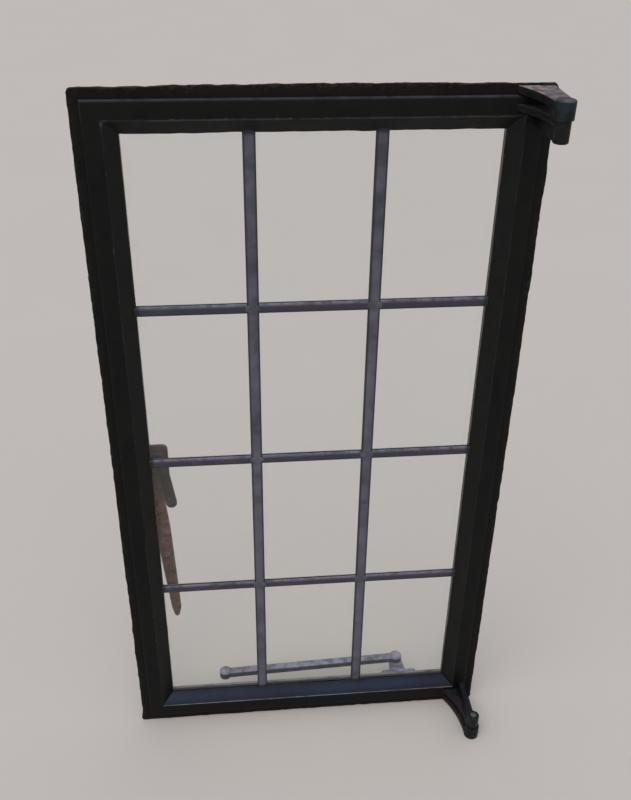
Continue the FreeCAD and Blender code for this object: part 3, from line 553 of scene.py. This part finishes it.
def hinge_paint(name, bareness_and_sheen, tarnish, metal):
    """Black paint on the hinges; what faces up takes a given colour: worn metal on the top hinge, a painted
    blue grey sky reflection on the bottom hinge.
    """
    finish = bpy.context.scene.casement_finishes
    material, tree, shader = begin_material(name)
    tone = group(tree, "Patches", Scale=45.0, Spread=0.16)["Mask"]
    base = tint(tree, tone, finish.paint, finish.paint_worn)
    stain = group(tree, "Patches", Scale=38.0, Spread=0.12, Level=0.46)["Mask"]
    depth = split(tree, spot(tree))[1]
    arm_start = KNUCKLE_BACK + 0.006
    knuckle = ramp(tree, depth, KNUCKLE_BACK, arm_start, tarnish, 0.1)
    base = coat(tree, base, finish.hinge_green, stain, knuckle)
    # What faces up: worn paint on the top hinge, a painted sky reflection on the bottom hinge.
    worn = group(tree, "Settled Dust", Amount=bareness_and_sheen, Scale=75.0)["Mask"]
    bare_and_sky_sheen = product(tree, worn, ramp(tree, depth, KNUCKLE_BACK, arm_start, 0.3, 1.0))
    base = tint(tree, bare_and_sky_sheen, base, metal)
    rubbed = group(tree, "Rubbed Arris", Scale=75.0, Level=0.46)["Mask"]
    base = coat(tree, base, finish.chip, rubbed, 0.7)
    rust = group(tree, "Rust", Scale=85.0, Level=0.55, Dark=finish.rust_dark, Light=finish.lever_brown)
    base = coat(tree, base, rust["Colour"], rust["Mask"], maths(tree, "ADD", bare_and_sky_sheen, 0.1))
    feed(tree, shader.inputs["Base Color"], base)
    feed(tree, shader.inputs["Roughness"], ramp(tree, tone, 0.0, 1.0, 0.44, 0.62))
    shader.inputs["Specular IOR Level"].default_value = 0.20
    skin = group(tree, "Skin", Waves=160.0, Grain=900.0, Share=0.35)["Height"]
    add_bump(tree, shader, maths(tree, "ADD", skin, rust["Height"]), 0.0005, 0.6)
    return material


# Meshes

SMOOTH_ANGLE = radians(38)
SHARP_ANGLE = radians(30)
FLAT_ANGLE = radians(0.4)
WELD = 1e-5
MITRE_REACH = 1e-4
ROUNDING_STEPS = 2

# Rust scale on the fixed frame: insets of its cuts, grains of its noise, and where it swells
SCALE_CUTS = (0.0012, 0.0035, 0.0065)
COARSE_GRAIN, RIPPLE_GRAIN, FACE_GRAIN = 46.0, 260.0, 120.0
RIPPLE_START, FACE_START = Vector((7, 3, 1)), Vector((2, 9, 5))
LUMP_SHARE, LUMP_SIZE = 2.2, 0.009
LUMP_PLACE = Vector((-HALF_WIDTH, 0, BOTTOM + 0.006))
HEAD_GROWTH, HEAD_SPAN = 1.3, 0.19

# Putty edge on the glass: its grain, and how near to sight line and glass it is free to wander
PUTTY_GRAIN, PUTTY_LIP, PUTTY_BED = 30.0, 0.004, 0.0005

# Solder: depth of its root, share of its lobes, seed, grain and size of its unevenness
SOLDER_ROOT, SOLDER_LOBES = -0.0012, 0.16
SOLDER_SEED, SOLDER_GRAIN, SOLDER_DRIFT = 5, 210.0, 0.0007

# Screws: depth of the root, and the slot's half width, half length and floor as shares of the head
SCREW_ROOT = -0.0004
SLOT_HALF, SLOT_REACH, SLOT_FLOOR = 0.16, 0.82, 0.25
KEEP_TURNS, PLATE_TURNS, FOOT_TURNS = (0.5, 1.9), (0.9, 2.4), (0.3, 1.2)


def merged_copy(name):
    """The node's own shape as a closed mesh with its flat faces whole."""
    shape = bmesh.new()
    shape.from_mesh(NODES[name].data)
    bmesh.ops.remove_doubles(shape, verts=shape.verts, dist=WELD)
    bmesh.ops.dissolve_limit(
        shape, angle_limit=FLAT_ANGLE, verts=shape.verts, edges=shape.edges, use_dissolve_boundaries=False)
    return shape


def edge_insets(point):
    """Distances in from the nearer side and the nearer end of the window."""
    return HALF_WIDTH - abs(point.x), min(point.z - BOTTOM, TOP - point.z)


def on_mitre(point):
    """Whether a point lies in the mitre of a corner."""
    side, end = edge_insets(point)
    return abs(side - end) < MITRE_REACH


def along_axis(axis, distance=1.0):
    """Vector of that length along one axis."""
    way = Vector((0, 0, 0))
    way[axis] = distance
    return way


def long_axis(low, high):
    """Axis that a bar of the window runs along: 0 for a level one, 2 for an upright one."""
    return 0 if high.x - low.x > high.z - low.z else 2


def cut_across(shape, point, direction, reach=1e-6):
    """Cuts every face that crosses a plane."""
    bmesh.ops.bisect_plane(shape, geom=[*shape.verts, *shape.edges, *shape.faces], dist=reach,
                           plane_co=point, plane_no=direction)


def soften(shape, width):
    """Rounds the sharp edges, apart from those in a mitre, and marks the roundings as rubbed."""
    rubbed = shape.faces.layers.float.new(RUBBED)
    sharp = [edge for edge in shape.edges if edge.is_manifold and edge.calc_face_angle() > SHARP_ANGLE
             and not all(on_mitre(corner.co) for corner in edge.verts)]
    rounded = bmesh.ops.bevel(
        shape, geom=sharp, offset=width, offset_type="OFFSET", segments=ROUNDING_STEPS, profile=0.5,
        affect="EDGES", clamp_overlap=True, material=-1)
    for face in rounded["faces"]:
        face[rubbed] = 1.0


def finish_piece(name, shape, material, body, replaced=()):
    """Makes the mesh an object of the scene that rides on its body."""
    mesh = bpy.data.meshes.new(name)
    shape.to_mesh(mesh)
    shape.free()
    if "custom_normal" in mesh.attributes:
        mesh.attributes.remove(mesh.attributes["custom_normal"])
    mesh.materials.clear()
    mesh.materials.append(material)
    for face in mesh.polygons:
        face.use_smooth = True
        face.material_index = 0
    mesh.set_sharp_from_angle(angle=SMOOTH_ANGLE)
    piece = bpy.data.objects.new(name, mesh)
    bpy.context.scene.collection.objects.link(piece)
    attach(piece, body)
    if replaced:
        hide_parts(*replaced)


def clothe(names, material):
    """Gives the material to solids that keep their shape."""
    for name in names:
        mesh = NODES[name].data
        mesh.materials.clear()
        mesh.materials.append(material)


def stamp(target, pattern, matrix):
    """Adds a placed copy of a pattern to a mesh."""
    mesh = bpy.data.meshes.new("pattern")
    pattern.to_mesh(mesh)
    mesh.transform(matrix)
    target.from_mesh(mesh)
    bpy.data.meshes.remove(mesh)


def turned(profile, steps):
    """Closed solid turned about +Z from (radius, height) points that start and end on the axis."""
    shape = bmesh.new()
    corners = [shape.verts.new((radius, 0.0, height)) for radius, height in profile]
    edges = [shape.edges.new(pair) for pair in zip(corners, corners[1:])]
    bmesh.ops.spin(shape, geom=corners + edges, cent=(0, 0, 0), axis=(0, 0, 1), angle=2 * pi, steps=steps,
                   use_merge=True)
    bmesh.ops.remove_doubles(shape, verts=shape.verts, dist=WELD)
    bmesh.ops.recalc_face_normals(shape, faces=shape.faces)
    return shape


def facing(axis, point, turn=0.0):
    """Matrix that stands a +Z pattern on a point, along an axis."""
    lean = Vector(axis).to_track_quat("Z", "X").to_matrix().to_4x4()
    return Matrix.Translation(point) @ lean @ Matrix.Rotation(turn, 4, "Z")


def slotted_screw(radius, height):
    """Round head with a driver's slot."""
    shape = turned([(0, height), (0.5 * radius, 0.94 * height), (0.82 * radius, 0.62 * height),
                    (radius, 0.12 * height), (radius, SCREW_ROOT), (0, SCREW_ROOT)], 20)
    half, reach = SLOT_HALF * radius, SLOT_REACH * radius
    for side in (-1, 1):
        cut_across(shape, (side * half, 0, 0), (1, 0, 0), 1e-7)
    shape.normal_update()
    middles = [(face, face.calc_center_median()) for face in shape.faces if face.normal.z > 0.2]
    strip = [face for face, middle in middles if abs(middle.x) < half and abs(middle.y) < reach]
    grown = bmesh.ops.extrude_face_region(shape, geom=strip)["geom"]
    bmesh.ops.delete(shape, geom=strip, context="FACES")
    for corner in grown:
        if isinstance(corner, bmesh.types.BMVert):
            corner.co.z = SLOT_FLOOR * height
    return shape


def screws(name, material, points, turns):
    """One piece with both screws of a fitting on the inside of the window."""
    sizes = bpy.context.scene.casement_sizes
    pattern = slotted_screw(sizes.screw_radius, sizes.screw_height)
    shape = bmesh.new()
    for point, turn in zip(points, turns):
        stamp(shape, pattern, facing(INWARD, Vector(point), turn))
    pattern.free()
    finish_piece(name, shape, material, "window")


def falloff(distance, reach):
    """Smooth fall from 1 at no distance to 0 at the reach."""
    near = max(0.0, 1.0 - distance / reach)
    return near * near * (3.0 - 2.0 * near)


def scale_shift(point, depth, reach):
    """How rust scale moves a point of the fixed frame."""
    across, along = (falloff(inset, reach) for inset in edge_insets(point))
    coarse = noise.fractal(point * COARSE_GRAIN, 0.8, 2.0, 4)
    ripple = noise.fractal(point * RIPPLE_GRAIN + RIPPLE_START, 0.7, 2.0, 3)
    face = noise.fractal(point * FACE_GRAIN + FACE_START, 0.8, 2.0, 3)
    corner = Vector((LUMP_PLACE.x, point.y, LUMP_PLACE.z))
    lump = LUMP_SHARE * exp(-((point - corner).length / LUMP_SIZE) ** 2)
    upper = point.z > MIDDLE
    growth = HEAD_GROWTH * max(0.0, 1.0 - (point.x / HEAD_SPAN) ** 2) if upper else 0.0
    out = depth * (0.9 * coarse + 0.3 * ripple - 0.1)
    return Vector((
        (out + depth * lump) * across * (1 if point.x > 0 else -1),
        depth * (0.45 * face - 0.5 * lump) * max(across, along),
        (out + depth * growth) * along * (1 if upper else -1),
    ))


def round_outer_corner(point, radius):
    """Pulls a point of the fixed frame's outer corner in to a worn rounding."""
    past = Vector([radius - inset for inset in edge_insets(point)])
    if min(past) <= 0 or past.length <= radius:
        return Vector((0, 0, 0))
    pull = past * (radius / past.length - 1)
    return Vector((pull.x * (1 if point.x > 0 else -1), 0, pull.y * (1 if point.z > MIDDLE else -1)))


def crusted_bar(name, step, depth, reach, wear):
    """The bar cut at short steps, its outer edge eaten and lumpy."""
    shape = merged_copy(name)
    low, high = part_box(name)
    along = long_axis(low, high)
    count = int((high[along] - low[along]) / step)
    cuts = [(low[along] + step * number, along) for number in range(1, count + 1)]
    for inset in SCALE_CUTS:
        if along == 0:
            cuts.append((TOP - inset if low.z > MIDDLE else BOTTOM + inset, 2))
        else:
            cuts.append((HALF_WIDTH - inset if low.x > 0 else inset - HALF_WIDTH, 0))
    for value, axis in cuts:
        cut_across(shape, along_axis(axis, value), along_axis(axis))
    for corner in shape.verts:
        start = corner.co.copy()
        corner.co += round_outer_corner(start, wear) + scale_shift(start, depth, reach)
        corner.co.z = max(corner.co.z, BOTTOM)
    return shape


def worked_putty(name, step, wave, spread):
    """A putty fillet with the uneven edges that a knife leaves."""
    shape = merged_copy(name)
    low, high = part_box(name)
    along = long_axis(low, high)
    outer = low.z > MIDDLE if along == 0 else low.x > 0
    to_glass = along_axis(2 - along, -1.0 if outer else 1.0)
    count = int((high[along] - low[along]) / step)
    for number in range(1, count + 1):
        cut_across(shape, along_axis(along, low[along] + step * number), along_axis(along))
    for corner in shape.verts:
        start = corner.co.copy()
        drag = noise.fractal(start * PUTTY_GRAIN, 0.8, 2.0, 3) * wave
        if min(edge_insets(start)) > SIGHT_INSET - PUTTY_LIP and start.y < GLASS_FRONT + PUTTY_BED:
            corner.co += to_glass * (drag + spread)
    return shape


class CASEMENT_OT_fixed_frame(bpy.types.Operator):
    """Fixed frame bars with their rough, rust-eaten outer edges"""

    bl_idname = "casement.fixed_frame"
    bl_label = "Fixed frame"

    def execute(self, context):
        sizes = context.scene.casement_sizes
        paint = frame_paint()
        for name in FRAME_BARS:
            shape = crusted_bar(
                name, sizes.scale_step, sizes.scale_depth, sizes.scale_reach, sizes.corner_wear)
            finish_piece(f"{name}_crusted", shape, paint, "window", (name,))
        return {"FINISHED"}


class CASEMENT_OT_casement(bpy.types.Operator):
    """Casement bars with softened arrises"""

    bl_idname = "casement.casement"
    bl_label = "Casement"

    def execute(self, context):
        sizes = context.scene.casement_sizes
        paint = bpy.data.materials["weathered_black_paint"]
        for name in CASEMENT_BARS:
            shape = merged_copy(name)
            soften(shape, sizes.edge_softness)
            finish_piece(f"{name}_softened", shape, paint, "window", (name,))
        putty = putty_paint()
        for name in PUTTY_FILLETS:
            spread = sizes.putty_spread if name == "top_putty" else 0.0
            shape = worked_putty(name, sizes.putty_step, sizes.putty_wave, spread)
            finish_piece(f"{name}_worked", shape, putty, "window", (name,))
        return {"FINISHED"}


class CASEMENT_OT_leads(bpy.types.Operator):
    """Lead finish and the soldered crossings, inside and outside"""

    bl_idname = "casement.leads"
    bl_label = "Leads and solder"

    def solder_blob(self, sizes):
        """Low dome with four lobes that run out along the leads."""
        radius = sizes.solder_radius
        height = sizes.solder_height
        shape = turned([(0, height), (0.35 * radius, 0.92 * height), (0.65 * radius, 0.55 * height),
                        (0.88 * radius, 0.1 * height), (radius, -0.5 * height), (radius, SOLDER_ROOT),
                        (0, SOLDER_ROOT)], 24)
        for corner in shape.verts:
            turn = atan2(corner.co.y, corner.co.x)
            lobes = 1.0 + SOLDER_LOBES * cos(4 * turn)
            corner.co.x *= lobes
            corner.co.y *= lobes
        return shape

    def execute(self, context):
        sizes = context.scene.casement_sizes
        upright_low, upright_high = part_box(UPRIGHT_LEADS[0])
        upright_half = (upright_high.x - upright_low.x) / 2
        level_low, level_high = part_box(LEVEL_LEADS[0])
        level_half = (level_high.z - level_low.z) / 2
        clothe(UPRIGHT_LEADS, lead_finish("upright_lead", 0, LEAD_COLUMNS, upright_half, 0.42))
        level = lead_finish("level_lead", 2, LEAD_ROWS, level_half, 0.80)
        clothe((*LEVEL_LEADS, "border_came"), level)
        solder = lead_finish("dull_solder", 0, LEAD_COLUMNS, 1.8 * upright_half, 0.50)
        pattern = self.solder_blob(sizes)
        noise.seed_set(SOLDER_SEED)
        sides = (("outside", upright_low.y, OUTWARD), ("inside", upright_high.y, INWARD))
        for side, depth, axis in sides:
            shape = bmesh.new()
            for x in LEAD_COLUMNS:
                for z in LEAD_ROWS:
                    stamp(shape, pattern, facing(axis, Vector((x, depth, z))))
            for corner in shape.verts:
                drift = noise.noise_vector(corner.co * SOLDER_GRAIN) * SOLDER_DRIFT
                corner.co += Vector((drift.x, drift.y * 0.25, drift.z))
            finish_piece(f"solder_{side}", shape, solder, "window")
        pattern.free()
        return {"FINISHED"}


class CASEMENT_OT_glass(bpy.types.Operator):
    """Clear, slightly wavy panes"""

    bl_idname = "casement.glass"
    bl_label = "Glass"

    def execute(self, context):
        clothe(PANES, clear_glass())
        return {"FINISHED"}


class CASEMENT_OT_hinges(bpy.types.Operator):
    """Projecting hinges with worn upper faces, and a painted sky reflection on the bottom hinge's upper
    faces
    """

    bl_idname = "casement.hinges"
    bl_label = "Hinges"

    def execute(self, context):
        sizes = context.scene.casement_sizes
        finish = context.scene.casement_finishes
        coats = {
            "top_hinge_frame_arm": hinge_paint("worn_hinge_paint", 1.0, 0.75, finish.hinge_bare),
            "top_hinge_casement_arm": hinge_paint("rubbed_hinge_paint", 0.5, 0.1, finish.stay_pale),
            # The bottom hinge's upper faces get the painted sky reflection colour.
            "bottom_hinge_frame_arm": hinge_paint("sky_sheened_hinge_paint", 0.30, 0.3, finish.bloom),
        }
        coats["bottom_hinge_casement_arm"] = coats["bottom_hinge_frame_arm"]
        pin = bare_steel("hinge_pin_steel", finish.plate_grey, finish.stay_grey, finish.stay_pale, 0.56, 0.6)
        for end in ("top", "bottom"):
            for arm in ("frame_arm", "casement_arm"):
                name = f"{end}_hinge_{arm}"
                shape = merged_copy(name)
                soften(shape, sizes.fitting_softness)
                finish_piece(f"{name}_worn", shape, coats[name], "window", (name,))
            clothe((f"{end}_hinge_pin",), pin)
        return {"FINISHED"}


class CASEMENT_OT_fastener(bpy.types.Operator):
    """Lever fastener inside the left stile"""

    bl_idname = "casement.fastener"
    bl_label = "Lever fastener"

    def execute(self, context):
        sizes = context.scene.casement_sizes
        finish = context.scene.casement_finishes
        rusty = bare_steel(
            "rusty_lever", finish.lever_brown, finish.lever_olive, finish.lever_pale, 0.56, 0.2)
        grey = bare_steel(
            "grey_green_plate", finish.plate_grey, finish.plate_brown, finish.stay_pale, 0.62, 0.25)
        for name, metal, body, slot in (("handle_lever", rusty, "handle", "rusty_steel"),
                                        ("handle_plate", grey, "window", "worn_steel"),
                                        ("handle_keep", grey, "window", "worn_steel")):
            shape = merged_copy(name)
            soften(shape, sizes.fitting_softness)
            finish_piece(f"{name}_worn", shape, metal, body, (name,))
        clothe(("handle_pin",), rusty)
        low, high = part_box("handle_keep")
        middle = (low.x + high.x) / 2
        screws("keep_screws", grey, ((middle, high.y, low.z + sizes.screw_margin),
                                     (middle, high.y, high.z - sizes.screw_margin)), KEEP_TURNS)
        low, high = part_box("handle_plate")
        beside = low.x + sizes.plate_margin
        upper = high.z - sizes.plate_margin
        screws("plate_screws", grey, ((beside, PLATE_BACK, upper),
                                      (beside, PLATE_BACK, upper - sizes.plate_pitch)), PLATE_TURNS)
        return {"FINISHED"}


class CASEMENT_OT_stay(bpy.types.Operator):
    """Bar stay inside the bottom rail"""

    bl_idname = "casement.stay"
    bl_label = "Bar stay"

    def execute(self, context):
        sizes = context.scene.casement_sizes
        finish = context.scene.casement_finishes
        # The stay's top gets dust with a painted pale blue grey sky highlight.
        steel = bare_steel(
            "worn_stay_steel", finish.stay_grey, finish.stay_blue, finish.stay_pale, 0.68, 0.95,
            rough=(0.40, 0.58), top_dust_and_sheen=finish.stay_dust_and_sky_sheen)
        for name, body in (("stay_bar", "stay"), ("stay_bracket", "window")):
            shape = merged_copy(name)
            soften(shape, sizes.fitting_softness)
            finish_piece(f"{name}_worn", shape, steel, body, (name,))
        clothe(("stay_pin",), steel)
        low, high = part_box("stay_bracket")
        foot_back = low.y + FOOT_THICK
        height = (low.z + high.z) / 2
        screws("stay_foot_screws", steel, ((low.x + sizes.screw_margin, foot_back, height),
                                           (high.x - sizes.screw_margin, foot_back, height)), FOOT_TURNS)
        return {"FINISHED"}


class CASEMENT_OT_stage(bpy.types.Operator):
    """Pale floor, soft light and the camera"""

    bl_idname = "casement.stage"
    bl_label = "Stage"

    def floor(self, stage):
        shape = bmesh.new()
        bmesh.ops.create_grid(shape, x_segments=2, y_segments=2, size=stage.floor_size / 2,
                              matrix=Matrix.Translation((0, 0, BOTTOM)))
        mesh = bpy.data.meshes.new("floor")
        shape.to_mesh(mesh)
        shape.free()
        floor = bpy.data.objects.new("floor", mesh)
        bpy.context.scene.collection.objects.link(floor)
        material, tree, shader = begin_material("pale_floor")
        tone = cloud(tree, spot(tree), 3.0, 4.0, 0.6)
        pale = [min(1.0, channel * 1.04) for channel in stage.floor]
        feed(tree, shader.inputs["Base Color"], tint(tree, tone, tuple(stage.floor), tuple(pale)))
        shader.inputs["Roughness"].default_value = 0.85
        shader.inputs["Specular IOR Level"].default_value = 0.15
        mesh.materials.append(material)

    def light(self, stage):
        world = bpy.context.scene.world or bpy.data.worlds.new("studio")
        bpy.context.scene.world = world
        world.use_nodes = True
        background = world.node_tree.nodes["Background"]
        background.inputs["Color"].default_value = (*stage.sky, 1.0)
        background.inputs["Strength"].default_value = stage.sky_strength
        lamp = bpy.data.lights.new("overhead", "SUN")
        lamp.energy = stage.lamp_strength
        lamp.angle = stage.lamp_spread
        lamp_object = bpy.data.objects.new("overhead", lamp)
        lamp_object.location = Vector(stage.lamp_from) * 2
        lamp_object.rotation_euler = Vector(stage.lamp_from).to_track_quat("Z", "Y").to_euler()
        bpy.context.scene.collection.objects.link(lamp_object)

    def camera(self, stage):
        camera = bpy.data.cameras.new("camera")
        camera.sensor_fit = "AUTO"
        camera.sensor_width = 36.0
        camera.lens = stage.lens
        camera_object = bpy.data.objects.new("camera", camera)
        sight = Vector(stage.camera_aim) - Vector(stage.camera_place)
        level = sight.to_track_quat("-Z", "Y").to_matrix().to_4x4()
        roll = Matrix.Rotation(stage.camera_roll, 4, "Z")
        camera_object.matrix_world = Matrix.Translation(stage.camera_place) @ level @ roll
        bpy.context.scene.collection.objects.link(camera_object)
        bpy.context.scene.camera = camera_object

    def execute(self, context):
        stage = context.scene.casement_stage
        self.floor(stage)
        self.light(stage)
        self.camera(stage)
        context.scene.view_settings.view_transform = "Standard"
        return {"FINISHED"}


OPERATORS = (
    CASEMENT_OT_fixed_frame, CASEMENT_OT_casement, CASEMENT_OT_leads, CASEMENT_OT_glass, CASEMENT_OT_hinges,
    CASEMENT_OT_fastener, CASEMENT_OT_stay, CASEMENT_OT_stage,
)


class CASEMENT_PT_panel(bpy.types.Panel):
    """Buttons for each part of the window"""

    bl_idname = "CASEMENT_PT_panel"
    bl_label = "Leaded steel casement"
    bl_space_type = "VIEW_3D"
    bl_region_type = "UI"
    bl_category = "Casement"

    def draw(self, context):
        for operator in OPERATORS:
            self.layout.operator(operator.bl_idname)


GROUPS = {
    "casement_sizes": CasementSizes, "casement_finishes": CasementFinishes, "casement_stage": CasementStage,
}


def register():
    for kind in (*GROUPS.values(), *OPERATORS, CASEMENT_PT_panel):
        bpy.utils.register_class(kind)
    for name, kind in GROUPS.items():
        setattr(bpy.types.Scene, name, PointerProperty(type=kind))


def unregister():
    for name in GROUPS:
        delattr(bpy.types.Scene, name)
    for kind in (CASEMENT_PT_panel, *reversed(OPERATORS), *GROUPS.values()):
        bpy.utils.unregister_class(kind)


def main():
    register()
    for operator in OPERATORS:
        getattr(bpy.ops.casement, operator.bl_idname.split(".")[1])()


if __name__ == "__main__":
    main()
